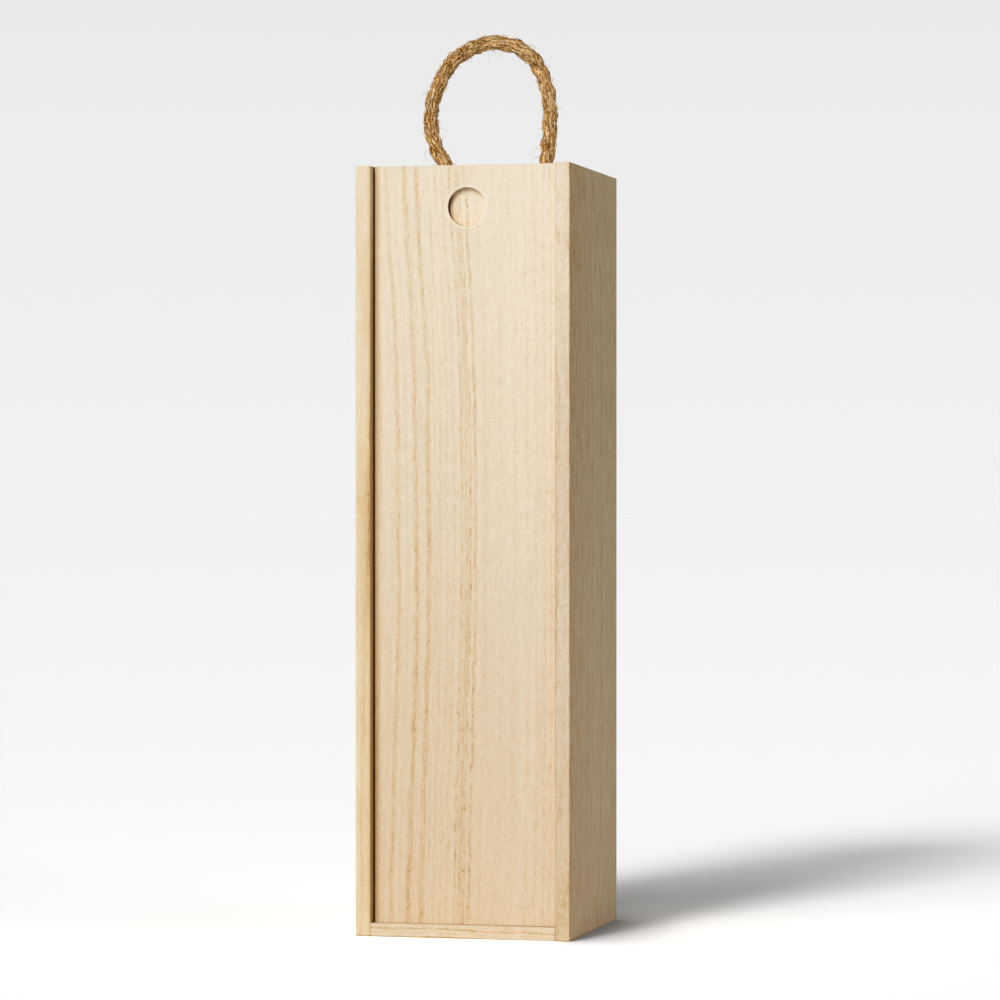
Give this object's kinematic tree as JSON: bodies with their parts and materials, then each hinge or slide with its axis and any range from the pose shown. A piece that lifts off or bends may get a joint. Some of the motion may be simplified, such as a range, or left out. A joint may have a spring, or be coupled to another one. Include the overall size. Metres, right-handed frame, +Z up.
{
  "type": "wooden wine box",
  "caption": "Tall pale wooden box for one wine bottle, with a grooved sliding lid, a round finger recess and a twisted rope handle.",
  "frame": {"origin": "middle of the underside of the box, on the surface that it stands on", "axes": "+X is the width, to the right of someone who faces the lid; the lid faces -Y; +Z is up, the way the lid slides out"},
  "size_m": [0.1, 0.1, 0.4135],
  "materials": {
    "side_wood": "bare sanded paulownia, matte",
    "panel_wood": "bare sanded paulownia, matte",
    "end_wood": "bare sanded paulownia, matte",
    "lid_wood": "bare sanded paulownia, matte",
    "jute": "three-strand twisted jute, hairy",
    "brad_steel": "plain steel wire brads"
  },
  "bodies": {
    "box": {"left_side": "side_wood", "right_side": "side_wood", "back_panel": "panel_wood", "bottom_board": "end_wood", "top_board": "end_wood", "left_rope_tail": "jute", "right_rope_tail": "jute", "left_rope_knot": "jute", "right_rope_knot": "jute", "back_brads": "brad_steel"},
    "lid": {"sliding_lid": "lid_wood"},
    "handle": {"rope_loop": "jute"}
  },
  "joints": [
    {"name": "lid_slide", "type": "slide", "parent": "box", "child": "lid", "axis": [0, 0, 1], "range_m": [0, 0.345]},
    {"name": "handle_swing", "type": "hinge", "parent": "box", "child": "handle", "pos_m": [0, 0.00325, 0.3536], "axis": [1, 0, 0], "range_deg": [-60, 38], "stiffness_Nm_per_rad": 0.02}
  ]
}
